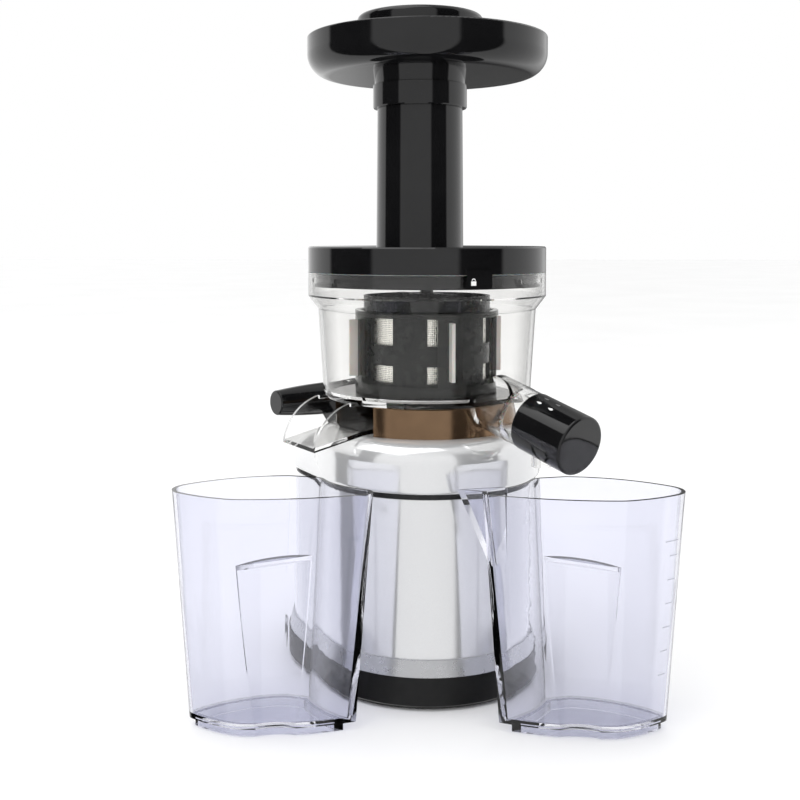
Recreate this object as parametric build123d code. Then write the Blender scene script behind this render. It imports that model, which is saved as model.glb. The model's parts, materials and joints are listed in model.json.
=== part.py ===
from build123d import *
import math
import os

# A vertical slow juicer with its pulp container and juice jug, in millimetres.
# The origin is on the bowl's axis, on the counter. +Z is up and -Y is the front.
# The machine's long axis runs from the juice spout, at the front right, to the
# carry handle, at the rear left. Every azimuth is in degrees from +X, seen from above.

# Azimuths
REAR_AZIMUTH = 128
SPOUT_AZIMUTH = -50
CHUTE_AZIMUTH = -147
IDLER_AZIMUTH = 33
LOCK_TAB_AZIMUTH = -67

# Plan of the base: a hull round the bowl's circle and a smaller rear circle
REAR_OFFSET = 35
PLAN_STEP = 5
FOOT_R = 70
COLUMN_R = 66.5
SHOULDER_R = 69
SHELL_WALL = 2.5

# Heights of the base
SOLE_TOP = 2
FLOOR_TOP = 5
FOOT_TOP = 19
TRIM_TOP = 28
COLUMN_TOP = 119
GROOVE_TOP = 122
LOBE_TOP = 136
SHOULDER_TOP = 151
DECK_TOP = 169
DECK_R = 56

# Carry handle
HANDLE_OFFSET = 108
HANDLE_HALF = 42.8
HANDLE_Z = 154.5
HANDLE_MIDDLE_R = 10.8
HANDLE_END_R = 8.2
NECK_START = 62
NECK_WIDTH = 16
NECK_ROOT_BOTTOM = 126
NECK_ROOT_TOP = 146
NECK_ROOT_LENGTH = 22

# Motor and gearbox: three upright shafts in the machine's long plane
MOTOR_OFFSET = 13.5
COUNTERSHAFT_OFFSET = 49.5
MOTOR_R = 37
MOTOR_BOTTOM = 24
MOTOR_TOP = 84
MOTOR_SHAFT_R = 4
GEARBOX_FLOOR = 86
GEARBOX_TOP = 118
GEARBOX_LID_TOP = 121.5
FIRST_MODULE = 1.0
SECOND_MODULE = 1.5
PINION_TEETH = 12
WHEEL_TEETH = 60
OUTPUT_TEETH = 54
OUTPUT_SHAFT_R = 8
HEX_FLATS = 12
BEARING_R = 13
BOSS_R = 16
RUNNING = 0.05

# Bowl
BOWL_FLOOR_TOP = 172
BOWL_FOOT_R = 63
BOWL_R = 66
BOWL_STEP_Z = 222
FLANGE_Z = 230
FLANGE_R = 72
BOWL_TOP = 244
BOWL_WALL = 2.2
HUB_R = 9.5

# Gear layer between the bowl's floor and the strainer
GEAR_MODULE = 1.5
AUGER_TEETH = 20
IDLER_TEETH = 16
RING_TEETH = 52
GEAR_Z = 172.8
GEAR_THICK = 3.4
IDLER_PIN_R = 3

# Strainer, brush cage and auger
STRAINER_Z = 176.8
STRAINER_R = 38.4
STRAINER_IN = 36
STRAINER_TOP = 230
MESH_WALL = 0.6
WINDOW_COUNT = 6
WINDOW_ANGLE = 29
LOWER_WINDOW = (180, 190)
UPPER_WINDOW = (202, 221)
CAGE_IN = 40.2
CAGE_R = 43.6
CAGE_TOP = 222
CAGE_POSTS = 4
CAGE_POST_ANGLE = 20
FLIGHT_R = 34.4
FLIGHT_THICK = 6
FLIGHT_TWIST = 330
AUGER_TOP = 231
AUGER_PIN_R = 4
AUGER_PIN_TOP = 245

# Lid, feed tube, hopper tray and pusher
LID_BOTTOM = 244.3
LID_TOP = 259.5
SKIRT_R = 67.3
SKIRT_BOTTOM = 236
TUBE_CENTRE = (-4.3, -30)
TUBE_IN = 22
TUBE_R = 25.2
TUBE_TOP_R = 24.5
SOCKET_Z = 339
SOCKET_R = 27
SOCKET_TOP = 352
NECK_Z = 352.4
TRAY_Z = 361
TRAY_RIM = 384
TRAY_R = 72
TRAY_WALL = 2.4
TRAY_CORNER = 13
PUSHER_TOP = 391.5
PUSHER_R = 36
ROD_R = 21.6
ROD_BOTTOM = 262

# Juice spout and its turning tap
SPOUT_TILT = 14
SPOUT_END = 125
SPOUT_END_Z = 155
SPOUT_R = 16.4
SPOUT_BORE = 13.8
TAP_R = 16.6
TAP_LENGTH = 35.5
BARREL_START = 46
NOZZLE_BACK = 29
NOZZLE_R = 5.5

# Pulp chute
CHUTE_WIDTH = 40
CHUTE_WALL = 2.2
CHUTE_START = 17
CHUTE_END = 88
CHUTE_END_Z = 145

# Containers
CUP_TOP = 130
CUP_FLOOR = 5
CUP_WALL = 2.2
CUP_TAPER = 3.7
FLUTE_TOP = 95
LIP_START = 88


def polar(radius, azimuth, z=0):
    """A point at a radius and azimuth round the bowl's axis."""
    angle = math.radians(azimuth)
    return Vector(radius * math.cos(angle), radius * math.sin(angle), z)


def disc(radius, bottom, top, centre=(0, 0)):
    """A solid upright cylinder between two heights."""
    column = Cylinder(radius, top - bottom, align=(Align.CENTER, Align.CENTER, Align.MIN))
    return Pos(centre[0], centre[1], bottom) * column


def ring(outer, inner, bottom, top, centre=(0, 0)):
    """An upright tube between two heights."""
    return disc(outer, bottom, top, centre) - disc(inner, bottom - 1, top + 1, centre)


def turned(points):
    """A solid of revolution about Z from an outline of (radius, height) points."""
    outline = make_face(Polyline([(r, 0, z) for r, z in points], close=True))
    return revolve(outline, Axis.Z)


def block(length, width, bottom, top, azimuth, start):
    """A box that runs outwards along an azimuth, from a start radius."""
    box = Box(length, width, top - bottom, align=(Align.MIN, Align.CENTER, Align.MIN))
    return Rot(0, 0, azimuth) * Pos(start, 0, bottom) * box


def sector(outer, inner, bottom, top, azimuth, angle):
    """A piece of an upright tube that spans an angle, centred on an azimuth."""
    half = math.radians(angle / 2)
    reach = outer * 1.5
    wedge = Polyline(
        (0, 0),
        (reach * math.cos(half), -reach * math.sin(half)),
        (reach, 0),
        (reach * math.cos(half), reach * math.sin(half)),
        close=True,
    )
    cutter = Pos(0, 0, bottom) * extrude(make_face(wedge), top - bottom)
    return ring(outer, inner, bottom, top) & (Rot(0, 0, azimuth) * cutter)


def plan(front_r, rear_r=None):
    """The base's plan: the hull of the front circle and the rear circle."""
    rear_r = front_r - PLAN_STEP if rear_r is None else rear_r
    rear = polar(REAR_OFFSET, REAR_AZIMUTH)
    edges = Circle(front_r).edges() + (Pos(rear.X, rear.Y, 0) * Circle(rear_r)).edges()
    return make_hull(edges)


def plan_block(front_r, bottom, top, top_r=None):
    """A block with the base's plan, which may taper to another radius at its top."""
    if top_r is None:
        return Pos(0, 0, bottom) * extrude(plan(front_r), top - bottom)
    return loft([Pos(0, 0, bottom) * plan(front_r), Pos(0, 0, top) * plan(top_r)])


def involute(angle):
    return math.tan(angle) - angle


def gear_face(module, teeth, phase, tip=1.0, root=1.2, slack=0.06):
    """A spur gear's outline, with a tooth centred at the phase angle in degrees.

    slack, in modules, is taken off each flank at the pitch circle; a negative slack
    gives the cavity of an internal gear.
    """
    pressure = math.radians(20)
    pitch_r = module * teeth / 2
    base_r = pitch_r * math.cos(pressure)
    half_tooth = math.pi / (2 * teeth) - slack * module / pitch_r
    radii = (pitch_r - root * module, pitch_r, pitch_r + tip * module)
    halves = []
    for radius in radii:
        at = math.acos(min(1.0, base_r / max(radius, base_r)))
        halves.append(half_tooth + involute(pressure) - involute(at))
    points = []
    for tooth in range(teeth):
        centre = math.radians(phase) + tooth * 2 * math.pi / teeth
        flank = [(r, centre - h) for r, h in zip(radii, halves)]
        flank += [(r, centre + h) for r, h in zip(reversed(radii), reversed(halves))]
        points += [(r * math.cos(a), r * math.sin(a)) for r, a in flank]
    return make_face(Polyline(points, close=True))


def gear(module, teeth, phase, bottom, top, centre=(0, 0), bore=0.0):
    """A spur gear with an optional round bore."""
    body = extrude(gear_face(module, teeth, phase), top - bottom)
    body = Pos(centre[0], centre[1], bottom) * body
    return body - disc(bore, bottom - 1, top + 1, centre) if bore else body


MOTOR_CENTRE = polar(MOTOR_OFFSET, REAR_AZIMUTH)
COUNTER_CENTRE = polar(COUNTERSHAFT_OFFSET, REAR_AZIMUTH)
MOTOR_XY = (MOTOR_CENTRE.X, MOTOR_CENTRE.Y)
COUNTER_XY = (COUNTER_CENTRE.X, COUNTER_CENTRE.Y)
REAR_WALL = REAR_OFFSET + COLUMN_R - PLAN_STEP
SCREW_AZIMUTHS = (-52, 38, 98, 158, 218)


def rear_plane(z, inset=0.0):
    """A plane on the column's rear wall, +X sideways and +Z outwards."""
    outward = polar(1, REAR_AZIMUTH)
    sideways = polar(1, REAR_AZIMUTH + 90)
    return Plane(origin=polar(REAR_WALL - inset, REAR_AZIMUTH, z), x_dir=sideways, z_dir=outward)


# ---- base shells -------------------------------------------------------------

SWITCH_Z = 74
SWITCH_HALF = (13, 9)
BOARD_Z = 56
INLET_Z = 40
INLET_R = 7
COVER_SCREW_R = 1.5
COVER_SCREW_REACH = 52


def cover_screw_places():
    """Centres of the bottom cover's screws."""
    return [polar(COVER_SCREW_REACH, azimuth) for azimuth in SCREW_AZIMUTHS]


def foot_sole():
    return plan_block(FOOT_R - 4, 0, SOLE_TOP) - plan_block(FOOT_R - 13, -1, SOLE_TOP + 1)


def bottom_cover():
    tub = plan_block(FOOT_R, SOLE_TOP, FOOT_TOP)
    tub = chamfer(tub.edges().group_by(Axis.Z)[0], 1.2)
    tub -= plan_block(FOOT_R - 3, FLOOR_TOP, FOOT_TOP + 1)
    for slot in range(-3, 4):
        tub -= Pos(MOTOR_CENTRE.X + slot * 7, MOTOR_CENTRE.Y, 0) * Box(3, 36, 20)
    for place in cover_screw_places():
        tub += disc(4, FLOOR_TOP, 12, (place.X, place.Y))
        tub -= disc(COVER_SCREW_R, 0, 20, (place.X, place.Y))
        tub -= disc(3.2, 0, FLOOR_TOP, (place.X, place.Y))
    return tub


def trim_band():
    band = plan_block(FOOT_R - 0.6, FOOT_TOP, TRIM_TOP, COLUMN_R + 0.6)
    return band - plan_block(COLUMN_R - 4, FOOT_TOP - 1, TRIM_TOP + 1)


def column_shell():
    shell = plan_block(COLUMN_R - 0.6, TRIM_TOP, COLUMN_TOP, COLUMN_R)
    shell -= plan_block(COLUMN_R - SHELL_WALL - 0.6, TRIM_TOP - 1, COLUMN_TOP + 1)
    half_width, half_height = SWITCH_HALF
    shell -= rear_plane(SWITCH_Z).location * Box(half_width * 2, half_height * 2, 30)
    shell -= rear_plane(INLET_Z).location * Cylinder(INLET_R, 30)
    return shell


def groove_ring():
    seal = plan_block(COLUMN_R - 1.2, COLUMN_TOP, GROOVE_TOP)
    return seal - plan_block(COLUMN_R - 6, COLUMN_TOP - 1, GROOVE_TOP + 1)


def shoulder_form(inset):
    """The shoulder's outer form, or with an inset the form of its inside."""
    lobe = plan_block(SHOULDER_R - inset, GROOVE_TOP, LOBE_TOP - inset)
    lobe = fillet(lobe.edges().group_by(Axis.Z)[-1], 11 - inset)
    tower = disc(SHOULDER_R - inset, GROOVE_TOP, SHOULDER_TOP - inset)
    tower = fillet(tower.edges().group_by(Axis.Z)[-1], 12 - inset)
    form = lobe + tower
    if inset == 0:
        form = fillet(form.edges().group_by(Axis.Z)[0], 2.5)
    return form


def shoulder_shell():
    shell = shoulder_form(0) - shoulder_form(SHELL_WALL)
    shell -= plan_block(SHOULDER_R - 5, GROOVE_TOP - 1, GROOVE_TOP + 4)
    shell -= disc(BOSS_R + 0.5, SHOULDER_TOP - 10, SHOULDER_TOP + 1)
    return shell - neck_slot()


def neck_slot():
    """The opening that the handle's neck plugs into."""
    length, width = NECK_ROOT_LENGTH + 0.2, NECK_WIDTH + 0.4
    return block(length, width, NECK_ROOT_BOTTOM - 0.1, NECK_ROOT_TOP + 0.1, REAR_AZIMUTH, NECK_START)


def deck_collar():
    outline = [
        (BOSS_R - 3, DECK_TOP - 4),
        (DECK_R - 3, DECK_TOP - 4),
        (DECK_R - 3, SHOULDER_TOP - 1.5),
        (DECK_R, SHOULDER_TOP - 1.5),
        (DECK_R, DECK_TOP - 1.5),
        (DECK_R - 1.5, DECK_TOP),
        (BOSS_R - 3, DECK_TOP),
    ]
    collar = turned(outline)
    notch = block(60, CHUTE_WIDTH + 5, SHOULDER_TOP - 3, DECK_TOP + 1, CHUTE_AZIMUTH, 12)
    return collar - notch - shoulder_form(0)


def carry_handle():
    """A barrel-shaped grip across the machine's long plane, on a neck from the shoulder."""
    half = HANDLE_HALF
    outline = make_face([
        Line((0, -half), (HANDLE_END_R, -half)),
        ThreePointArc((HANDLE_END_R, -half), (HANDLE_MIDDLE_R, 0), (HANDLE_END_R, half)),
        Line((HANDLE_END_R, half), (0, half)),
        Line((0, half), (0, -half)),
    ])
    grip = revolve(outline, Axis.Y)
    grip = fillet(grip.edges().filter_by(GeomType.CIRCLE).group_by(Axis.Y)[0], 1)
    grip = fillet(grip.edges().filter_by(GeomType.CIRCLE).group_by(Axis.Y)[-1], 1)
    grip = Rot(0, 0, REAR_AZIMUTH) * Pos(HANDLE_OFFSET, 0, HANDLE_Z) * grip
    return grip + handle_neck()


def handle_neck():
    """The bar from the plug inside the shoulder, over the lobe's top and up to the grip."""
    root_end = NECK_START + NECK_ROOT_LENGTH
    over_lobe = LOBE_TOP + 2
    side = Polyline(
        (NECK_START + 0.2, 0, NECK_ROOT_BOTTOM),
        (NECK_START + 0.2, 0, NECK_ROOT_TOP),
        (root_end + 4, 0, NECK_ROOT_TOP),
        (HANDLE_OFFSET - 3, 0, HANDLE_Z + 5),
        (HANDLE_OFFSET + 3, 0, HANDLE_Z - 5),
        (root_end + 13, 0, over_lobe),
        (root_end, 0, over_lobe),
        (root_end, 0, NECK_ROOT_BOTTOM),
        close=True,
    )
    neck = extrude(make_face(side), NECK_WIDTH / 2, both=True)
    return Rot(0, 0, REAR_AZIMUTH) * neck


def cord_inlet():
    gland = Cylinder(INLET_R, 12) - Cylinder(3.6, 20)
    flange = Pos(0, 0, 1.6) * (Cylinder(10, 2.2) - Cylinder(3.6, 20))
    flange = fillet(flange.edges().sort_by(Axis.Z)[-1], 0.8)
    body = rear_plane(INLET_Z).location * (gland + flange)
    return body - curved_wall()


def curved_wall():
    """The column's wall near the rear openings, which their frames follow."""
    wall = plan_block(COLUMN_R - 0.6, TRIM_TOP, COLUMN_TOP, COLUMN_R)
    wall -= plan_block(COLUMN_R - SHELL_WALL - 0.6, TRIM_TOP - 1, COLUMN_TOP + 1)
    half_width, half_height = SWITCH_HALF
    wall -= rear_plane(SWITCH_Z).location * Box(half_width * 2, half_height * 2, 30)
    return wall - rear_plane(INLET_Z).location * Cylinder(INLET_R, 30)


def switch_bezel():
    half_width, half_height = SWITCH_HALF
    sleeve = Box(half_width * 2, half_height * 2, 14)
    flange = Pos(0, 0, 1.4) * Box(half_width * 2 + 5, half_height * 2 + 5, 2.4)
    flange = fillet(flange.edges().group_by(Axis.Z)[-1], 0.8)
    frame = sleeve + flange
    frame -= Pos(0, 0, 2) * Box(half_width * 2 - 4, half_height * 2 - 4, 14)
    return rear_plane(SWITCH_Z).location * frame - curved_wall()


def rocker():
    """The rocker, which tips about a sideways axis through its own middle."""
    half_width, half_height = SWITCH_HALF
    key = Box(half_width * 2 - 5.2, half_height * 2 - 6.4, 5)
    key -= Pos(0, 0, 15.2) * Rot(0, 90, 0) * Cylinder(13.4, 40)
    return rear_plane(SWITCH_Z, -0.6).location * key


# ---- motor and gearbox ---------------------------------------------------------


def motor_can():
    can = ring(MOTOR_R, MOTOR_R - 2, MOTOR_BOTTOM, MOTOR_TOP - 3, MOTOR_XY)
    cap = ring(MOTOR_R, 9, MOTOR_TOP - 3, MOTOR_TOP, MOTOR_XY)
    return can + cap


def field_magnets():
    shells = []
    for azimuth in (REAR_AZIMUTH - 90, REAR_AZIMUTH + 90):
        shell = sector(MOTOR_R - 2, MOTOR_R - 8, MOTOR_BOTTOM + 12, MOTOR_TOP - 10, azimuth, 130)
        shells.append(Pos(MOTOR_CENTRE.X, MOTOR_CENTRE.Y, 0) * shell)
    return Compound(children=shells)


def motor_end_cap():
    cap = ring(MOTOR_R, 8, MOTOR_BOTTOM - 4, MOTOR_BOTTOM, MOTOR_XY)
    cup = ring(11, 8, MOTOR_BOTTOM - 9, MOTOR_BOTTOM - 4, MOTOR_XY)
    floor = ring(11, MOTOR_SHAFT_R + 0.5, MOTOR_BOTTOM - 11, MOTOR_BOTTOM - 9, MOTOR_XY)
    return cap + cup + floor


def motor_bearings():
    lower = ring(8, MOTOR_SHAFT_R + RUNNING, MOTOR_BOTTOM - 9, MOTOR_BOTTOM - 3, MOTOR_XY)
    upper = ring(9, MOTOR_SHAFT_R + RUNNING, MOTOR_TOP - 5, MOTOR_TOP + 1, MOTOR_XY)
    return Compound(children=[lower, upper])


def motor_mount():
    """A rubber cushion under the motor that keeps its hum out of the base."""
    ring_pad = ring(MOTOR_R - 4, 20, FLOOR_TOP, MOTOR_BOTTOM - 4, MOTOR_XY)
    for place in cover_screw_places():
        ring_pad -= disc(5, 0, 30, (place.X, place.Y))
    return ring_pad


def motor_shaft():
    return disc(MOTOR_SHAFT_R, MOTOR_BOTTOM - 8, GEARBOX_FLOOR + 14.5, MOTOR_XY)


def armature():
    core = ring(24, MOTOR_SHAFT_R, MOTOR_BOTTOM + 16, MOTOR_TOP - 16, MOTOR_XY)
    slots = 12
    for slot in range(slots):
        cut = Rot(0, 0, slot * 360 / slots) * Pos(20, 0, 0) * Box(14, 2.4, 400)
        core -= Pos(MOTOR_CENTRE.X, MOTOR_CENTRE.Y, 0) * cut
    return core


def commutator():
    return ring(10, MOTOR_SHAFT_R, MOTOR_BOTTOM + 2, MOTOR_BOTTOM + 14, MOTOR_XY)


def motor_pinion():
    return gear(
        FIRST_MODULE, PINION_TEETH, REAR_AZIMUTH, GEARBOX_FLOOR + 5, GEARBOX_FLOOR + 14.5,
        MOTOR_XY, MOTOR_SHAFT_R,
    )


COUNTER_PIN_R = 4


def counter_wheel():
    """The big first-stage wheel, a pressing on the second-stage pinion's hub."""
    wheel = gear(
        FIRST_MODULE, WHEEL_TEETH, REAR_AZIMUTH + 180 + 180 / WHEEL_TEETH,
        GEARBOX_FLOOR + 6.5, GEARBOX_FLOOR + 13.5, COUNTER_XY, 6,
    )
    recess = ring(24, 9, GEARBOX_FLOOR + 11, GEARBOX_FLOOR + 14, COUNTER_XY)
    return wheel - recess


def counter_pinion():
    pinion = gear(
        SECOND_MODULE, PINION_TEETH, REAR_AZIMUTH + 180,
        GEARBOX_FLOOR + 13.5, GEARBOX_FLOOR + 28, COUNTER_XY,
    )
    hub = disc(6, GEARBOX_FLOOR + 5, GEARBOX_FLOOR + 13.5, COUNTER_XY)
    return pinion + hub - disc(COUNTER_PIN_R + RUNNING, 0, 200, COUNTER_XY)


def counter_pin():
    return disc(COUNTER_PIN_R, GEARBOX_FLOOR, GEARBOX_TOP, COUNTER_XY)


def gearbox_plan(front_r, rear_r):
    """The gearbox's plan: a hull round the output wheel and the countershaft."""
    rear = Pos(COUNTER_CENTRE.X, COUNTER_CENTRE.Y, 0) * Circle(rear_r)
    return make_hull(Circle(front_r).edges() + rear.edges())


def gearbox_screw_places():
    near = [polar(45.6, REAR_AZIMUTH + turn) for turn in (-100, 100, 180)]
    far = [COUNTER_CENTRE + polar(35.2, REAR_AZIMUTH + turn) for turn in (-38, 38)]
    return near + far


def gearbox_housing():
    outer = Pos(0, 0, GEARBOX_FLOOR) * extrude(gearbox_plan(48.5, 38), GEARBOX_TOP - GEARBOX_FLOOR)
    cavity = Pos(0, 0, GEARBOX_FLOOR + 4) * extrude(gearbox_plan(43.5, 32.5), 60)
    housing = outer - cavity
    housing -= disc(9.2, 0, GEARBOX_FLOOR + 5, MOTOR_XY)
    housing -= disc(COUNTER_PIN_R, 0, 200, COUNTER_XY)
    for place in gearbox_screw_places():
        housing -= disc(COVER_SCREW_R, GEARBOX_TOP - 12, GEARBOX_TOP + 1, (place.X, place.Y))
    return housing


def gearbox_cover():
    plate = extrude(gearbox_plan(48.5, 38), GEARBOX_LID_TOP - GEARBOX_TOP)
    plate = Pos(0, 0, GEARBOX_TOP) * plate
    boss = disc(BOSS_R, GEARBOX_TOP, SHOULDER_TOP)
    cover = plate + boss - disc(BEARING_R, GEARBOX_TOP - 1, SHOULDER_TOP + 1)
    for place in gearbox_screw_places():
        cover -= disc(COVER_SCREW_R, 100, 200, (place.X, place.Y))
    return cover


def gearbox_screws():
    screws = []
    for place in gearbox_screw_places():
        xy = (place.X, place.Y)
        shank = disc(COVER_SCREW_R, GEARBOX_TOP - 10, GEARBOX_LID_TOP, xy)
        head = disc(2.8, GEARBOX_LID_TOP, GEARBOX_LID_TOP + 1.8, xy)
        slot = Pos(place.X, place.Y, GEARBOX_LID_TOP + 1.8) * Box(4, 0.8, 1.6)
        screws.append(shank + head - slot)
    return Compound(children=screws)


def cover_screws():
    screws = []
    for place in cover_screw_places():
        xy = (place.X, place.Y)
        shank = disc(COVER_SCREW_R, FLOOR_TOP, 12, xy)
        head = disc(2.9, FLOOR_TOP - 1.8, FLOOR_TOP, xy)
        slot = Pos(place.X, place.Y, FLOOR_TOP - 1.8) * Box(4, 0.8, 1.6)
        screws.append(shank + head - slot)
    return Compound(children=screws)


def shaft_bearings():
    lower = ring(BEARING_R, OUTPUT_SHAFT_R + RUNNING, GEARBOX_TOP + 2, GEARBOX_TOP + 10)
    upper = ring(BEARING_R, OUTPUT_SHAFT_R + RUNNING, SHOULDER_TOP - 10, SHOULDER_TOP - 2)
    return Compound(children=[lower, upper])


def bearing_spacer():
    return ring(BEARING_R, BEARING_R - 2, GEARBOX_TOP + 10, SHOULDER_TOP - 10)


def shaft_seal():
    lip = ring(BEARING_R, OUTPUT_SHAFT_R + RUNNING, SHOULDER_TOP - 2, SHOULDER_TOP + 1)
    return lip


def output_wheel():
    wheel = gear(
        SECOND_MODULE, OUTPUT_TEETH, REAR_AZIMUTH + 180 / OUTPUT_TEETH,
        GEARBOX_FLOOR + 17, GEARBOX_FLOOR + 26, (0, 0), OUTPUT_SHAFT_R,
    )
    web_z = GEARBOX_FLOOR + 17
    return wheel - ring(34, 14, web_z + 6, web_z + 10) - ring(34, 14, web_z - 1, web_z + 2)


def output_shaft():
    shaft = disc(OUTPUT_SHAFT_R, GEARBOX_FLOOR + 17, DECK_TOP - 8)
    hexagon = extrude(RegularPolygon(HEX_FLATS / 2, 6, major_radius=False), 24)
    hexagon = chamfer(hexagon.edges().group_by(Axis.Z)[-1], 1)
    collar = disc(10, SHOULDER_TOP + 1.5, SHOULDER_TOP + 3.5)
    return shaft + collar + Pos(0, 0, DECK_TOP - 8) * hexagon


def control_board():
    return rear_plane(BOARD_Z, 15).location * Box(50, 52, 1.6)


def board_parts():
    plane = rear_plane(BOARD_Z, 15)
    pieces = []
    for side, height, radius, tall in ((-14, 14, 5, 12), (13, -14, 4, 8), (-4, -16, 4, 8)):
        pieces.append(plane.location * Pos(side, height, -0.8 - tall / 2) * Cylinder(radius, tall))
    pieces.append(plane.location * Pos(14, 10, -0.8 - 4) * Box(12, 16, 8))
    kept = [piece - motor_keepout() for piece in pieces]
    return Compound(children=[piece.solids()[0] for piece in kept])


def motor_keepout():
    """The motor with room round it for the board's tall components."""
    return disc(MOTOR_R + 1, 0, MOTOR_TOP, MOTOR_XY)


# ---- bowl ----------------------------------------------------------------------


def spout_plane():
    """A plane at the tap's end, +Z outwards along the spout and +X downwards."""
    tilt = math.radians(SPOUT_TILT)
    outward = polar(math.cos(tilt), SPOUT_AZIMUTH, -math.sin(tilt))
    downward = polar(-math.sin(tilt), SPOUT_AZIMUTH, -math.cos(tilt))
    return Plane(origin=polar(SPOUT_END, SPOUT_AZIMUTH, SPOUT_END_Z), x_dir=downward, z_dir=outward)


def along_spout(radius, start, end):
    """A cylinder on the spout's axis; start and end are distances back from the tap's end."""
    rod = Cylinder(radius, start - end, align=(Align.CENTER, Align.CENTER, Align.MIN))
    return spout_plane().location * Pos(0, 0, -start) * rod


def bowl_outside():
    wall = turned([
        (0, DECK_TOP),
        (BOWL_FOOT_R - 2, DECK_TOP),
        (BOWL_FOOT_R, DECK_TOP + 2),
        (BOWL_R, BOWL_STEP_Z),
        (FLANGE_R, FLANGE_Z),
        (FLANGE_R, BOWL_TOP),
        (0, BOWL_TOP),
    ])
    return wall


def bowl_inside():
    return turned([
        (0, BOWL_FLOOR_TOP),
        (BOWL_FOOT_R - BOWL_WALL - 2, BOWL_FLOOR_TOP),
        (BOWL_FOOT_R - BOWL_WALL, BOWL_FLOOR_TOP + 2),
        (BOWL_R - BOWL_WALL, BOWL_STEP_Z + 0.6),
        (FLANGE_R - BOWL_WALL, FLANGE_Z + 0.8),
        (FLANGE_R - BOWL_WALL, BOWL_TOP + 1),
        (0, BOWL_TOP + 1),
    ])


HOOK_COUNT = 3
HOOK_ANGLE = 22
HOOK_START = 90


def bowl_shell():
    under_floor = disc(BOWL_FOOT_R - 4.5, 0, DECK_TOP)
    under_inside = disc(BOWL_FOOT_R - 2.3, 0, BOWL_FLOOR_TOP)
    tube = along_spout(SPOUT_R, 80, BARREL_START) - under_floor
    bore = along_spout(SPOUT_BORE, 80, BARREL_START - 1) - under_inside
    shell = bowl_outside() + tube - bowl_inside() - bore
    for hook in range(HOOK_COUNT):
        azimuth = HOOK_START + hook * 360 / HOOK_COUNT
        shell += sector(FLANGE_R - 1, SKIRT_R + 0.35, 238.5, 241, azimuth, HOOK_ANGLE)
    duct = block(15, 24, BOWL_FLOOR_TOP, STRAINER_Z - 0.3, CHUTE_AZIMUTH, 18)
    duct_hole = block(11, 20, DECK_TOP - 1, STRAINER_Z + 1, CHUTE_AZIMUTH, 20)
    shell = shell + duct - duct_hole
    shell -= disc(HUB_R, DECK_TOP - 1, BOWL_FLOOR_TOP + 1)
    pin = polar(GEAR_MODULE * (AUGER_TEETH + IDLER_TEETH) / 2, IDLER_AZIMUTH)
    return shell - disc(IDLER_PIN_R, DECK_TOP + 1, BOWL_FLOOR_TOP + 1, (pin.X, pin.Y))


def idler_centre():
    centre = polar(GEAR_MODULE * (AUGER_TEETH + IDLER_TEETH) / 2, IDLER_AZIMUTH)
    return (centre.X, centre.Y)


def idler_pin():
    return disc(IDLER_PIN_R, DECK_TOP + 1, GEAR_Z + GEAR_THICK, idler_centre())


def idler_gear():
    phase = IDLER_AZIMUTH + 180 + 180 / IDLER_TEETH
    return gear(
        GEAR_MODULE, IDLER_TEETH, phase, GEAR_Z, GEAR_Z + GEAR_THICK - 0.3,
        idler_centre(), IDLER_PIN_R + RUNNING,
    )


def bowl_seal():
    """The silicone ring in the bowl's hub, round the auger's drive socket."""
    return ring(HUB_R, HUB_R - 1.2, DECK_TOP, BOWL_FLOOR_TOP)


def chute_profile(inset):
    """The chute's side outline, (distance out, height), or its inside with an inset."""
    lip = CHUTE_END + (4 if inset else 0)
    low = 155.5 + inset
    heel = 151.8 + inset
    end_z = CHUTE_END_Z + inset - (1 if inset else 0)
    top = DECK_TOP + (5 if inset else 0)
    rim = Vector(BOWL_FOOT_R + 1.5, 0, DECK_TOP + 2)
    start = CHUTE_START + inset
    if inset:
        points = [
            (start, low), (56, heel), (lip, end_z), (lip, top + 20), (56, top + 20),
            (DECK_R, DECK_TOP), (start, DECK_TOP),
        ]
        return make_face(Polyline([(x, 0, z) for x, z in points], close=True))
    base = Polyline(
        (rim.X, 0, rim.Z), (rim.X, 0, top), (start, 0, top), (start, 0, low),
        (56, 0, heel), (lip, 0, end_z),
    )
    arc = ThreePointArc((lip, 0, end_z), (81.5, 0, 160.5), (rim.X, 0, rim.Z))
    return make_face([base, arc])


def pulp_chute():
    outer = extrude(chute_profile(0), CHUTE_WIDTH / 2, both=True)
    inner = extrude(chute_profile(CHUTE_WALL), CHUTE_WIDTH / 2 - CHUTE_WALL, both=True)
    trough = outer - inner
    trough = Rot(0, 0, CHUTE_AZIMUTH) * trough
    return trough - bowl_outside()


def strainer_frame():
    wall = ring(STRAINER_R, STRAINER_IN, STRAINER_Z, STRAINER_TOP)
    floor = ring(STRAINER_R, 17.2, STRAINER_Z, STRAINER_Z + 2.4)
    frame = wall + floor
    for window in range(WINDOW_COUNT):
        azimuth = -90 + WINDOW_ANGLE / 2 + window * 360 / WINDOW_COUNT
        for low, high in (LOWER_WINDOW, UPPER_WINDOW):
            frame -= sector(STRAINER_R + 2, STRAINER_IN - 1, low, high, azimuth, WINDOW_ANGLE)
    return frame - block(11, 20, STRAINER_Z - 1, STRAINER_Z + 2.6, CHUTE_AZIMUTH, 20)


def strainer_mesh():
    return ring(STRAINER_IN, STRAINER_IN - MESH_WALL, STRAINER_Z + 2.4, UPPER_WINDOW[1] + 2)


# ---- auger, brush cage -----------------------------------------------------------


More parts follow.
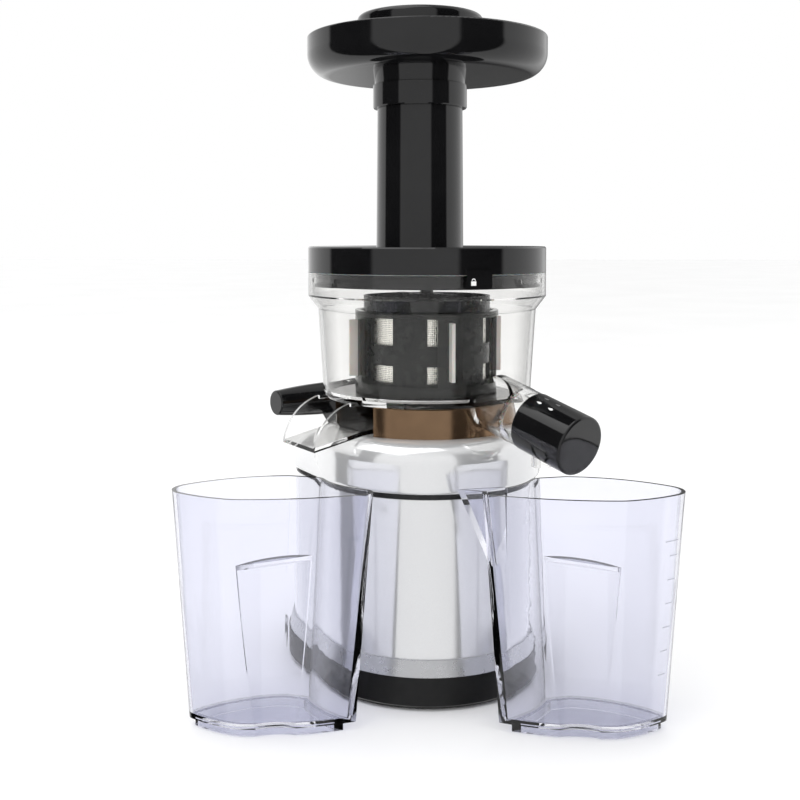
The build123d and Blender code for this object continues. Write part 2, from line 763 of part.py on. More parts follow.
def auger_screw():
    """The twin-flight screw: two blades twisted as they rise, turned to a taper, on a core."""
    low = STRAINER_Z + 3.2
    rise = AUGER_TOP - low
    blades = Rectangle((FLIGHT_R + 3) * 2, FLIGHT_THICK).face().outer_wire()
    twisted = Solid.extrude_linear_with_rotation(blades, (0, 0, 0), (0, 0, rise + 6), FLIGHT_TWIST)
    envelope = turned([
        (0, low), (FLIGHT_R, low), (FLIGHT_R, low + 36), (FLIGHT_R - 10, AUGER_TOP),
        (0, AUGER_TOP),
    ])
    screw = (Pos(0, 0, low - 3) * twisted) & envelope
    core = turned([
        (0, GEAR_Z), (HUB_R + 2, GEAR_Z), (HUB_R + 2, STRAINER_Z), (16.6, STRAINER_Z),
        (16.6, low + 2), (20, low + 5), (13, AUGER_TOP - 2), (10, AUGER_TOP),
        (AUGER_PIN_R, AUGER_TOP), (AUGER_PIN_R, AUGER_PIN_TOP - 1),
        (AUGER_PIN_R - 1, AUGER_PIN_TOP), (0, AUGER_PIN_TOP),
    ])
    return screw + core - disc(9, GEAR_Z - 1, DECK_TOP + 28)


def auger_gear():
    return gear(
        GEAR_MODULE, AUGER_TEETH, IDLER_AZIMUTH, GEAR_Z, GEAR_Z + GEAR_THICK, (0, 0), HUB_R + 2
    )


def drive_socket():
    """The steel hexagon socket in the foot of the auger."""
    sleeve = disc(9, GEAR_Z, DECK_TOP + 28)
    skirt = disc(8.2, DECK_TOP + 1, GEAR_Z)
    hexagon = extrude(RegularPolygon(HEX_FLATS / 2 + 0.25, 6, major_radius=False), 26)
    return sleeve + skirt - Pos(0, 0, DECK_TOP - 4) * hexagon


def ring_gear():
    blank = disc(CAGE_R, GEAR_Z, GEAR_Z + GEAR_THICK)
    cavity = gear_face(
        GEAR_MODULE, RING_TEETH, IDLER_AZIMUTH + 180 / RING_TEETH, tip=1.2, root=0.9, slack=-0.06
    )
    return blank - Pos(0, 0, GEAR_Z - 1) * extrude(cavity, GEAR_THICK + 2)


def post_azimuth(post):
    return 18 + post * 360 / CAGE_POSTS


def brush_cage():
    low = GEAR_Z + GEAR_THICK
    cage = ring(CAGE_R, CAGE_IN, low, low + 2.5) + ring(CAGE_R, CAGE_IN, CAGE_TOP - 4, CAGE_TOP)
    for post in range(CAGE_POSTS):
        cage += sector(CAGE_R, CAGE_IN, low, CAGE_TOP, post_azimuth(post), CAGE_POST_ANGLE)
        slot = block(8, 2, low + 6, CAGE_TOP - 6, post_azimuth(post), CAGE_IN - 2)
        cage -= slot
    return cage


def brush_wipers():
    """Silicone blades that run through the posts and sweep the strainer and the bowl."""
    low = GEAR_Z + GEAR_THICK + 6
    blades = []
    for post in range(CAGE_POSTS):
        reach = CAGE_R + 5 - (STRAINER_R + 0.5)
        blades.append(block(reach, 2, low, CAGE_TOP - 6, post_azimuth(post), STRAINER_R + 0.5))
    return Compound(children=blades)


# ---- lid, feed tube, tray, pusher --------------------------------------------------


def lid_cover():
    cover = turned([
        (SKIRT_R - 2.4, SKIRT_BOTTOM),
        (SKIRT_R - 2.4, LID_TOP - 3), (0, LID_TOP - 3), (0, LID_TOP), (FLANGE_R - 0.8, LID_TOP),
        (FLANGE_R, LID_TOP - 0.8), (FLANGE_R, LID_BOTTOM), (SKIRT_R, LID_BOTTOM),
        (SKIRT_R, SKIRT_BOTTOM),
    ])
    for hook in range(HOOK_COUNT):
        azimuth = HOOK_START + hook * 360 / HOOK_COUNT
        cover += sector(FLANGE_R - 2.6, SKIRT_R - 1, SKIRT_BOTTOM, 238, azimuth, HOOK_ANGLE - 4)
    cover += sector(73.6, 70, LID_BOTTOM, LID_BOTTOM + 3, LOCK_TAB_AZIMUTH, 12)
    cover += sector(73.6, 72.35, 236.5, LID_BOTTOM, LOCK_TAB_AZIMUTH, 12)
    cover += disc(7, 236, LID_TOP - 2)
    cover -= disc(5.5, 230, AUGER_PIN_TOP + 1.5)
    return cover - disc(TUBE_IN, 240, LID_TOP + 1, TUBE_CENTRE)


def lid_bush():
    return ring(5.5, AUGER_PIN_R + RUNNING, 236, AUGER_PIN_TOP + 0.5)


def lid_gasket():
    """The silicone ring between the lid and the bowl's rim."""
    return ring(FLANGE_R - 0.6, SKIRT_R, BOWL_TOP + 0.02, LID_BOTTOM)


def feed_tube():
    x, y = TUBE_CENTRE
    tube = turned([
        (TUBE_IN, LID_TOP), (TUBE_R, LID_TOP), (TUBE_TOP_R, SOCKET_Z),
        (SOCKET_R - 0.4, SOCKET_Z), (SOCKET_R, SOCKET_Z + 0.6), (SOCKET_R, SOCKET_TOP),
        (24.4, SOCKET_TOP), (24.4, SOCKET_Z + 3), (TUBE_IN, SOCKET_Z + 3),
    ])
    return Pos(x, y, 0) * tube


def hopper_tray():
    x, y = TUBE_CENTRE
    outer = disc(TRAY_R, TRAY_Z, TRAY_RIM)
    outer = fillet(outer.edges().group_by(Axis.Z)[0], TRAY_CORNER)
    inner = disc(TRAY_R - TRAY_WALL, TRAY_Z + TRAY_WALL, TRAY_RIM + 20)
    inner = fillet(inner.edges().group_by(Axis.Z)[0], TRAY_CORNER - TRAY_WALL)
    neck = turned([
        (0, SOCKET_Z + 4), (24.0, SOCKET_Z + 4), (24.0, NECK_Z), (26, NECK_Z),
        (26.9, TRAY_Z + 1.2), (0, TRAY_Z + 1.2),
    ])
    tray = outer - inner + Pos(x, y, 0) * neck
    rim = tray.edges().group_by(Axis.Z)[-1]
    tray = fillet(rim, 0.9)
    return tray - disc(TUBE_IN + 0.2, SOCKET_Z, TRAY_Z + 10, TUBE_CENTRE)


def pusher_cap():
    x, y = TUBE_CENTRE
    cap = disc(PUSHER_R, 378, PUSHER_TOP)
    cap = fillet(cap.edges().group_by(Axis.Z)[-1], 3)
    collar = disc(30, TRAY_Z + TRAY_WALL + 0.1, 378)
    return Pos(x, y, 0) * (cap + collar - disc(18, 300, PUSHER_TOP - 3))


def pusher_rod():
    x, y = TUBE_CENTRE
    rod = disc(ROD_R, ROD_BOTTOM, TRAY_Z + TRAY_WALL + 0.1)
    rod = fillet(rod.edges().group_by(Axis.Z)[0], 3)
    for rib in range(3):
        azimuth = 30 + rib * 120
        rib_cut = Rot(0, 0, azimuth) * Pos(ROD_R, 0, 0) * Box(2.4, 8, 900)
        rod -= rib_cut
    return Pos(x, y, 0) * (rod - disc(18, ROD_BOTTOM + 3, 400))


# ---- tap ----------------------------------------------------------------------------


def tap_cap():
    """The turning cap, slotted round its hidden side so that it clears the fixed nozzle."""
    plane = spout_plane().location
    outer = Cylinder(TAP_R, TAP_LENGTH, align=(Align.CENTER, Align.CENTER, Align.MAX))
    outer = fillet(outer.edges().group_by(Axis.Z)[-1], 1.4)
    inner = Pos(0, 0, -2) * Cylinder(14.7, 60, align=(Align.CENTER, Align.CENTER, Align.MAX))
    slot_deep = TAP_LENGTH - 17.5
    slot = sector(30, 5, 0, slot_deep, 45, 142)
    return plane * (outer - inner - Pos(0, 0, -TAP_LENGTH) * slot)


def tap_barrel():
    """The clear inner barrel: a ring that shows behind the cap, a bore and a down nozzle."""
    body = along_spout(SPOUT_R - 0.2, BARREL_START, TAP_LENGTH + 0.4)
    body += along_spout(14.3, TAP_LENGTH + 0.4, 6)
    nozzle = spout_plane().location * Pos(0, 0, -NOZZLE_BACK) * Rot(0, 90 - SPOUT_TILT, 0)
    body += nozzle * Cylinder(NOZZLE_R, 22, align=(Align.CENTER, Align.CENTER, Align.MIN))
    body -= along_spout(11, BARREL_START + 1, 0)
    drip = nozzle * Cylinder(NOZZLE_R - 1.5, 60, align=(Align.CENTER, Align.CENTER, Align.MIN))
    return body - drip


def tap_plug():
    """The turning core: a port lines up with the nozzle when the tap is open."""
    core = along_spout(10.95, TAP_LENGTH + 2, 2)
    core -= along_spout(7.5, TAP_LENGTH + 5, NOZZLE_BACK - 6)
    port = spout_plane().location * Pos(0, 0, -NOZZLE_BACK) * Rot(0, 90 - SPOUT_TILT, 0)
    return core - port * Cylinder(4, 40, align=(Align.CENTER, Align.CENTER, Align.MIN))


# ---- containers -----------------------------------------------------------------------


def cup_rim():
    """The left container's plan at its rim, with a hollow side towards the base."""
    tip = Vector(-16, -92)
    front = Vector(-102, -113)
    outer = Vector(-143, -88)
    back = Vector(-78, -53)
    corner = Vector(-59, -58)
    front_mid = (tip + front) * 0.5 + Vector(2, -6)
    side_mid = (front + outer) * 0.5 + Vector(-2.5, -2.5)
    back_mid = (outer + back) * 0.5 + Vector(-5, 7)
    waist = (corner + tip) * 0.5 + Vector(-5.5, -6.5)
    face = make_face([
        ThreePointArc(tip, front_mid, front),
        ThreePointArc(front, side_mid, outer),
        ThreePointArc(outer, back_mid, back),
        Line(back, corner),
        ThreePointArc(corner, waist, tip),
    ])
    for point, radius in ((tip, 7), (front, 18), (outer, 14), (back, 6), (corner, 7)):
        near = face.vertices().sort_by_distance(point)[0]
        face = fillet(near, radius)
    return face


def flute_tool(grow, bottom):
    """The finger flute's cutter, an upright lens-shaped column with a slanted top."""
    column = disc(30 - grow, bottom, FLUTE_TOP + 4 - grow, (-78, -132))
    slant = Pos(-78, -132, FLUTE_TOP + 6 - grow) * Rot(0, -7, 0) * Box(90, 90, 12)
    return column - slant


def cup_solid(inset):
    """The container's filled form, which narrows from its rim down to its floor."""
    rim = offset(cup_rim(), -inset) if inset else cup_rim()
    return extrude(Pos(0, 0, CUP_TOP) * rim, CUP_TOP - CUP_FLOOR, dir=(0, 0, -1), taper=CUP_TAPER)


def jug_lip(inset):
    """The jug's pouring lip, which grows out of its inner tip towards the rim."""
    low = Polyline((44, -95), (43, -87), (34 + inset, -91), close=True)
    reach = 16 + inset * 1.6
    high = Polyline((46, -99 + inset), (42, -80 - inset), (reach, -87), close=True)
    rise = CUP_TOP + inset / 10
    return loft([Pos(0, 0, LIP_START + inset) * make_face(low), Pos(0, 0, rise) * make_face(high)])


def cup_skirt():
    """The low foot under the container, set in from its wall."""
    shrink = (CUP_TOP - CUP_FLOOR) * math.tan(math.radians(CUP_TAPER)) + 3
    skirt = extrude(offset(cup_rim(), -shrink), CUP_FLOOR)
    skirt -= Pos(0, 0, -1) * extrude(offset(cup_rim(), -shrink - 2.4), CUP_FLOOR + 2)
    return skirt - flute_tool(-3, -1)


def above_floor():
    """The half-space above the container's inner floor."""
    deep = (Align.CENTER, Align.CENTER, Align.MIN)
    return Pos(0, -90, CUP_FLOOR + 2.5) * Box(400, 200, 300, align=deep)


def pulp_container():
    outer = cup_solid(0) - flute_tool(0, -1)
    inner = (cup_solid(CUP_WALL) - flute_tool(-CUP_WALL, -1)) & above_floor()
    return outer - inner + cup_skirt()


def juice_jug():
    outer = mirror(cup_solid(0) - flute_tool(0, -1), about=Plane.YZ) + jug_lip(0)
    inner = mirror(cup_solid(CUP_WALL) - flute_tool(-CUP_WALL, -1), about=Plane.YZ)
    inner = (inner + jug_lip(CUP_WALL)) & above_floor()
    return outer - inner + mirror(cup_skirt(), about=Plane.YZ)


NODES = {
    "foot_sole": foot_sole,
    "bottom_cover": bottom_cover,
    "cover_screws": cover_screws,
    "trim_band": trim_band,
    "column_shell": column_shell,
    "groove_ring": groove_ring,
    "shoulder_shell": shoulder_shell,
    "deck_collar": deck_collar,
    "carry_handle": carry_handle,
    "cord_inlet": cord_inlet,
    "switch_bezel": switch_bezel,
    "rocker_switch": rocker,
    "motor_mount": motor_mount,
    "motor_can": motor_can,
    "field_magnets": field_magnets,
    "motor_end_cap": motor_end_cap,
    "motor_bearings": motor_bearings,
    "motor_shaft": motor_shaft,
    "armature": armature,
    "commutator": commutator,
    "motor_pinion": motor_pinion,
    "counter_wheel": counter_wheel,
    "counter_pinion": counter_pinion,
    "counter_pin": counter_pin,
    "gearbox_housing": gearbox_housing,
    "gearbox_cover": gearbox_cover,
    "gearbox_screws": gearbox_screws,
    "shaft_bearings": shaft_bearings,
    "bearing_spacer": bearing_spacer,
    "shaft_seal": shaft_seal,
    "output_wheel": output_wheel,
    "output_shaft": output_shaft,
    "control_board": control_board,
    "board_parts": board_parts,
    "bowl_shell": bowl_shell,
    "bowl_seal": bowl_seal,
    "idler_pin": idler_pin,
    "idler_gear": idler_gear,
    "pulp_chute": pulp_chute,
    "strainer_frame": strainer_frame,
    "strainer_mesh": strainer_mesh,
    "auger_screw": auger_screw,
    "auger_gear": auger_gear,
    "drive_socket": drive_socket,
    "ring_gear": ring_gear,
    "brush_cage": brush_cage,
    "brush_wipers": brush_wipers,
    "lid_cover": lid_cover,
    "lid_bush": lid_bush,
    "lid_gasket": lid_gasket,
    "feed_tube": feed_tube,
    "hopper_tray": hopper_tray,
    "pusher_cap": pusher_cap,
    "pusher_rod": pusher_rod,
    "tap_cap": tap_cap,
    "tap_barrel": tap_barrel,
    "tap_plug": tap_plug,
    "pulp_container": pulp_container,
    "juice_jug": juice_jug,
}

os.makedirs("parts", exist_ok=True)
for name, make in NODES.items():
    export_step(make(), f"parts/{name}.step")
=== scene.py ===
import json
import math

import bpy
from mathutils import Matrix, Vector
from mathutils.bvhtree import BVHTree


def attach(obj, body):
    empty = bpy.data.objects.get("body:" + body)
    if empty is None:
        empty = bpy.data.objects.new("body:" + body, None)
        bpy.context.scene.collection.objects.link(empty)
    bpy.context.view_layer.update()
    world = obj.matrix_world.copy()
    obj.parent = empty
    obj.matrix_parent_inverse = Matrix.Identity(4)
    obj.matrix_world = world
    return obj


# The looks of the slow juicer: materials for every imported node, the printed and
# moulded marks that are too fine for the solids, and a plain studio round it.
# Lengths are in metres.

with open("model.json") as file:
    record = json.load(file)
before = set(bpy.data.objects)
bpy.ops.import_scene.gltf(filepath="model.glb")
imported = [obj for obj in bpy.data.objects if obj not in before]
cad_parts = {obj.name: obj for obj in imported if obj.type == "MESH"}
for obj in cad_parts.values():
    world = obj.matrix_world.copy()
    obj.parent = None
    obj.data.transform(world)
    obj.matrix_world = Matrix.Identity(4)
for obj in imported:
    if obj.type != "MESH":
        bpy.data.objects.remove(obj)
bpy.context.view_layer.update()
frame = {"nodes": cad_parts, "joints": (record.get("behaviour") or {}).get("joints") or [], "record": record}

# ---- sizes: the tap's place is read from the frame, the rest repeat the CAD ----------

MM = 0.001
TAP = next(joint for joint in frame["joints"] if joint["name"] == "tap_turn")
TAP_END = Vector(TAP["pos_m"])
TAP_AXIS = -Vector(TAP["axis"]).normalized()
TAP_R = 16.6 * MM
LOCK_MARK_AZIMUTH = math.radians(-70)
LOCK_TAB_R = 73.6 * MM
LOCK_MARK_BOTTOM = 238.6 * MM
LOCK_SHACKLE_BASE = 241 * MM
MESH_R = 36 * MM
JUG_CENTRE = (100 * MM, -90 * MM)
JUG_SCALE_AZIMUTH = -9
INK_LIFT = 0.05 * MM


# ---- node helpers ----------------------------------------------------------------


class Tree:
    """A material's node tree with short names for what the materials below need."""

    def __init__(self, name):
        self.material = bpy.data.materials.new(name)
        self.material.use_nodes = True
        self.nodes = self.material.node_tree.nodes
        self.links = self.material.node_tree.links
        self.nodes.clear()
        self.output = self.nodes.new("ShaderNodeOutputMaterial")
        self.coordinates = self.nodes.new("ShaderNodeTexCoord")

    def link(self, source, target):
        self.links.new(source, target)

    def shader(self, **values):
        """A Principled shader with its plain values set on its own sockets."""
        node = self.nodes.new("ShaderNodeBsdfPrincipled")
        for name, value in values.items():
            node.inputs[name.replace("_", " ")].default_value = value
        return node

    def noise(self, scale, detail=3.0, stretch=(1, 1, 1), roughness=0.55):
        """Noise in the object's own metres; scale is in cycles per metre."""
        mapping = self.nodes.new("ShaderNodeMapping")
        mapping.inputs["Scale"].default_value = stretch
        self.link(self.coordinates.outputs["Object"], mapping.inputs["Vector"])
        node = self.nodes.new("ShaderNodeTexNoise")
        node.inputs["Scale"].default_value = scale
        node.inputs["Detail"].default_value = detail
        node.inputs["Roughness"].default_value = roughness
        self.link(mapping.outputs["Vector"], node.inputs["Vector"])
        return node.outputs["Fac"]

    def spread(self, source, low, high, start=0.3, end=0.7):
        """Maps a texture's middle range to the range from low to high."""
        node = self.nodes.new("ShaderNodeMapRange")
        node.inputs["From Min"].default_value = start
        node.inputs["From Max"].default_value = end
        node.inputs["To Min"].default_value = low
        node.inputs["To Max"].default_value = high
        self.link(source, node.inputs["Value"])
        return node.outputs["Result"]

    def ramp(self, source, dark, light, start=0.3, end=0.7):
        """Colours a texture from one colour to another."""
        node = self.nodes.new("ShaderNodeValToRGB")
        node.color_ramp.elements[0].position = start
        node.color_ramp.elements[1].position = end
        node.color_ramp.elements[0].color = (*dark, 1)
        node.color_ramp.elements[1].color = (*light, 1)
        self.link(source, node.inputs["Fac"])
        return node.outputs["Color"]

    def bump(self, source, depth, strength=1.0, under=None):
        """A bump of a real depth in metres, which may lie on another bump."""
        node = self.nodes.new("ShaderNodeBump")
        node.inputs["Strength"].default_value = strength
        node.inputs["Distance"].default_value = depth
        self.link(source, node.inputs["Height"])
        if under is not None:
            self.link(under, node.inputs["Normal"])
        return node.outputs["Normal"]

    def done(self, shader):
        self.link(shader.outputs[0], self.output.inputs["Surface"])
        return self.material


# ---- materials ---------------------------------------------------------------------


def black_gloss():
    """Polished black ABS, with faint flow marks and a breath of dust in its gloss."""
    tree = Tree("black_gloss")
    shader = tree.shader(IOR=1.46)
    colour = tree.ramp(tree.noise(38), (0.004, 0.004, 0.0045), (0.007, 0.007, 0.0075))
    tree.link(colour, shader.inputs["Base Color"])
    rough = tree.spread(tree.noise(160, 5), 0.03, 0.09)
    tree.link(rough, shader.inputs["Roughness"])
    ripple = tree.bump(tree.noise(30, 1), 0.00006)
    tree.link(tree.bump(tree.noise(2600, 2), 0.000002, under=ripple), shader.inputs["Normal"])
    return tree.done(shader)


def deck_smoke():
    """The glossy brown-grey seat under the bowl, a tinted lacquer over a metallic base."""
    tree = Tree("deck_smoke")
    shader = tree.shader(Metallic=0.85, IOR=1.48)
    colour = tree.ramp(tree.noise(70, 4), (0.17, 0.105, 0.06), (0.215, 0.135, 0.078))
    tree.link(colour, shader.inputs["Base Color"])
    tree.link(tree.spread(tree.noise(180, 4), 0.1, 0.18), shader.inputs["Roughness"])
    tree.link(tree.bump(tree.noise(900, 3), 0.000006), shader.inputs["Normal"])
    return tree.done(shader)


def black_matte():
    """Spark-eroded black moulding."""
    tree = Tree("black_matte")
    shader = tree.shader(IOR=1.35)
    colour = tree.ramp(tree.noise(55, 4), (0.003, 0.003, 0.0035), (0.006, 0.006, 0.0065))
    tree.link(colour, shader.inputs["Base Color"])
    tree.link(tree.spread(tree.noise(240, 5), 0.38, 0.56), shader.inputs["Roughness"])
    tree.link(tree.bump(tree.noise(2300, 3), 0.00003), shader.inputs["Normal"])
    return tree.done(shader)


def silver_shell():
    """Pearl silver lacquer on the moulded shells: fine flake under a clear coat."""
    tree = Tree("silver_shell")
    shader = tree.shader(Metallic=0.52, IOR=1.5, Coat_Weight=0.4, Coat_Roughness=0.04)
    flake = tree.noise(5200, 2)
    colour = tree.ramp(flake, (0.72, 0.724, 0.734), (0.81, 0.813, 0.82), 0.35, 0.65)
    tree.link(colour, shader.inputs["Base Color"])
    tree.link(tree.spread(tree.noise(90, 4), 0.1, 0.15), shader.inputs["Roughness"])
    tree.link(tree.bump(flake, 0.000004), shader.inputs["Normal"])
    return tree.done(shader)


def silver_trim():
    """The darker satin silver band at the foot."""
    tree = Tree("silver_trim")
    shader = tree.shader(Metallic=0.8, IOR=1.5)
    grain = tree.noise(700, 2, stretch=(1, 1, 9))
    colour = tree.ramp(grain, (0.47, 0.475, 0.49), (0.52, 0.525, 0.54))
    tree.link(colour, shader.inputs["Base Color"])
    tree.link(tree.spread(tree.noise(150, 4), 0.24, 0.34), shader.inputs["Roughness"])
    tree.link(tree.bump(grain, 0.000001), shader.inputs["Normal"])
    return tree.done(shader)


def clear(name, tint, wall_tint, edge_shade_tint, ior, rough=(0.01, 0.035), wave=0.00008):
    """Clear moulded plastic, darker where the eye looks along a wall: a little of that is the longer path
    through the plastic, most of it is painted shade for the dark surroundings that the walls' edges refract.

    Lamps shine through it, so that what it holds stays bright.
    """
    tree = Tree(name)
    shader = tree.shader(Transmission_Weight=1.0, IOR=ior)
    body = tree.ramp(tree.noise(20, 3), wall_tint, tint)
    # Painted shade: where a wall is seen edge-on the base colour turns to a near-black tint, standing in for
    # the dark surroundings refracted at the edges.
    edge = tree.nodes.new("ShaderNodeLayerWeight")
    edge.inputs["Blend"].default_value = 0.5
    painted_edge_shade = tree.nodes.new("ShaderNodeMix")
    painted_edge_shade.data_type = "RGBA"
    along = tree.spread(edge.outputs["Facing"], 0.0, 1.0, 0.45, 0.9)
    tree.link(along, painted_edge_shade.inputs["Factor"])
    tree.link(body, painted_edge_shade.inputs["A"])
    painted_edge_shade.inputs["B"].default_value = (*edge_shade_tint, 1)
    tree.link(painted_edge_shade.outputs["Result"], shader.inputs["Base Color"])
    tree.link(tree.spread(tree.noise(140, 4), *rough), shader.inputs["Roughness"])
    tree.link(tree.bump(tree.noise(24, 2), wave), shader.inputs["Normal"])
    through = tree.nodes.new("ShaderNodeBsdfTransparent")
    through.inputs["Color"].default_value = (*tint, 1)
    path = tree.nodes.new("ShaderNodeLightPath")
    mix = tree.nodes.new("ShaderNodeMixShader")
    tree.link(path.outputs["Is Shadow Ray"], mix.inputs[0])
    tree.link(shader.outputs[0], mix.inputs[1])
    tree.link(through.outputs[0], mix.inputs[2])
    return tree.done(mix)


def rubber():
    tree = Tree("rubber")
    shader = tree.shader(IOR=1.5)
    colour = tree.ramp(tree.noise(70, 5), (0.012, 0.012, 0.0125), (0.022, 0.022, 0.023))
    tree.link(colour, shader.inputs["Base Color"])
    tree.link(tree.spread(tree.noise(300, 4), 0.5, 0.75), shader.inputs["Roughness"])
    tree.link(tree.bump(tree.noise(1500, 4), 0.00005), shader.inputs["Normal"])
    return tree.done(shader)


def strainer_dark():
    """The dark glass-filled plastic of the strainer frame and the auger."""
    tree = Tree("strainer_dark")
    shader = tree.shader(IOR=1.4, Specular_IOR_Level=0.3)
    colour = tree.ramp(tree.noise(60, 5), (0.006, 0.0065, 0.006), (0.014, 0.015, 0.0135))
    tree.link(colour, shader.inputs["Base Color"])
    tree.link(tree.spread(tree.noise(180, 4), 0.16, 0.34), shader.inputs["Roughness"])
    tree.link(tree.bump(tree.noise(700, 4), 0.00003), shader.inputs["Normal"])
    return tree.done(shader)


def smoke_cage():
    """The translucent smoke-grey brush cage."""
    tree = Tree("smoke_cage")
    shader = tree.shader(Transmission_Weight=0.92, IOR=1.3)
    colour = tree.ramp(tree.noise(45, 4), (0.04, 0.043, 0.036), (0.08, 0.084, 0.072))
    tree.link(colour, shader.inputs["Base Color"])
    tree.link(tree.spread(tree.noise(220, 4), 0.08, 0.2), shader.inputs["Roughness"])
    tree.link(tree.bump(tree.noise(90, 3), 0.0001), shader.inputs["Normal"])
    return tree.done(shader)


def steel_mesh():
    """The strainer's screen: a sheet with staggered rows of fine holes, painted as dark spots of shade for
    the dim inside seen through them.
    """
    tree = Tree("steel_mesh")
    shader = tree.shader(Metallic=1.0)
    split = tree.nodes.new("ShaderNodeSeparateXYZ")
    tree.link(tree.coordinates.outputs["Object"], split.inputs[0])
    angle = tree.nodes.new("ShaderNodeMath")
    angle.operation = "ARCTAN2"
    tree.link(split.outputs["Y"], angle.inputs[0])
    tree.link(split.outputs["X"], angle.inputs[1])
    around = tree.nodes.new("ShaderNodeMath")
    around.operation = "MULTIPLY"
    around.inputs[1].default_value = MESH_R
    tree.link(angle.outputs[0], around.inputs[0])
    flat = tree.nodes.new("ShaderNodeCombineXYZ")
    tree.link(around.outputs[0], flat.inputs["X"])
    tree.link(split.outputs["Z"], flat.inputs["Y"])
    holes = tree.nodes.new("ShaderNodeTexVoronoi")
    holes.voronoi_dimensions = "2D"
    holes.inputs["Scale"].default_value = 900
    holes.inputs["Randomness"].default_value = 0.15
    tree.link(flat.outputs[0], holes.inputs["Vector"])
    # Painted shade: each hole is a dark spot on a solid sheet, standing in for the dim inside of the
    # strainer seen through it.
    colour = tree.ramp(holes.outputs["Distance"], (0.1, 0.1, 0.09), (0.92, 0.9, 0.84), 0.2, 0.3)
    tree.link(colour, shader.inputs["Base Color"])
    tree.link(tree.spread(tree.noise(400, 3), 0.22, 0.36), shader.inputs["Roughness"])
    tree.link(tree.bump(holes.outputs["Distance"], 0.0002), shader.inputs["Normal"])
    return tree.done(shader)


def metal(name, dark, light, rough, grain=1200, stretch=(1, 1, 8)):
    """Worked metal with its grain across Z."""
    tree = Tree(name)
    shader = tree.shader(Metallic=1.0)
    lines = tree.noise(grain, 4, stretch=stretch)
    tree.link(tree.ramp(lines, dark, light), shader.inputs["Base Color"])
    tree.link(tree.spread(tree.noise(200, 4), *rough), shader.inputs["Roughness"])
    tree.link(tree.bump(lines, 0.00002), shader.inputs["Normal"])
    return tree.done(shader)


def moulded(name, dark, light, rough, grain=800, depth=0.00002, soft=0.0):
    """Plain moulded plastic or silicone, with an optional soft glow inside."""
    tree = Tree(name)
    shader = tree.shader(IOR=1.46, Subsurface_Weight=soft, Subsurface_Scale=0.004)
    tree.link(tree.ramp(tree.noise(60, 4), dark, light), shader.inputs["Base Color"])
    tree.link(tree.spread(tree.noise(220, 4), *rough), shader.inputs["Roughness"])
    tree.link(tree.bump(tree.noise(grain, 3), depth), shader.inputs["Normal"])
    return tree.done(shader)


MATERIALS = {
    "black_gloss": black_gloss(),
    "black_matte": black_matte(),
    "deck_smoke": deck_smoke(),
    "silver_shell": silver_shell(),
    "silver_trim": silver_trim(),
    "clear_bowl": clear(
        "clear_bowl",
        tint=(0.965, 0.963, 0.955),
        wall_tint=(0.94, 0.938, 0.93),
        # The bowl's edge tint is painted shade for its dark refracted outline.
        edge_shade_tint=(0.16, 0.16, 0.155),
        ior=1.3,
    ),
    "clear_cup": clear(
        "clear_cup",
        tint=(0.885, 0.89, 0.95),
        wall_tint=(0.865, 0.87, 0.935),
        # The cup's edge tint is painted shade for its dark refracted outline.
        edge_shade_tint=(0.08, 0.085, 0.11),
        ior=1.49,
    ),
    "smoke_cage": smoke_cage(),
    "strainer_dark": strainer_dark(),
    "steel_mesh": steel_mesh(),
    "steel": metal("steel", (0.5, 0.5, 0.51), (0.66, 0.66, 0.67), (0.18, 0.32)),
    "silicone": moulded("silicone", (0.7, 0.69, 0.65), (0.8, 0.79, 0.75), (0.35, 0.5), soft=0.4),
    "rubber": rubber(),
    "gear_nylon": moulded("gear_nylon", (0.72, 0.7, 0.62), (0.82, 0.8, 0.73), (0.3, 0.45), soft=0.2),
    "magnet": metal("magnet", (0.09, 0.09, 0.1), (0.16, 0.16, 0.17), (0.45, 0.6), 500, (1, 1, 1)),
    "copper": metal("copper", (0.62, 0.33, 0.2), (0.8, 0.48, 0.3), (0.2, 0.35)),
    "zinc": metal("zinc", (0.45, 0.46, 0.47), (0.58, 0.59, 0.6), (0.4, 0.55), 400, (1, 1, 1)),
    "board_green": moulded("board_green", (0.02, 0.13, 0.05), (0.04, 0.2, 0.08), (0.25, 0.4), 300),
}


def print_ink(name, dark, light):
    """Pad-printed ink."""
    tree = Tree(name)
    shader = tree.shader(IOR=1.48)
    tree.link(tree.ramp(tree.noise(900, 3), dark, light), shader.inputs["Base Color"])
    tree.link(tree.spread(tree.noise(500, 3), 0.35, 0.5), shader.inputs["Roughness"])
    return tree.done(shader)


INK_WHITE = print_ink("ink_white", (0.8, 0.8, 0.79), (0.9, 0.9, 0.89))
INK_GREY = print_ink("ink_grey", (0.11, 0.11, 0.112), (0.16, 0.16, 0.162))
INK_MARK = print_ink("ink_mark", (0.42, 0.43, 0.5), (0.52, 0.53, 0.6))

for part in frame["record"]["subparts"]:
    node = frame["nodes"][part["node"]]
    finish = MATERIALS[part["material_slot"]]
    if not node.material_slots:
        node.data.materials.append(finish)
    for slot in node.material_slots:
        slot.material = finish


# ---- printed and moulded marks -------------------------------------------------------


def make_piece(name, corners, faces, material, body):
    """A mesh piece that rides on a body."""
    mesh = bpy.data.meshes.new(name)
    mesh.from_pydata([tuple(corner) for corner in corners], [], faces)
    mesh.materials.append(material)
    mesh.validate()
    piece = bpy.data.objects.new(name, mesh)
    bpy.context.collection.objects.link(piece)
    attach(piece, body)
    return piece


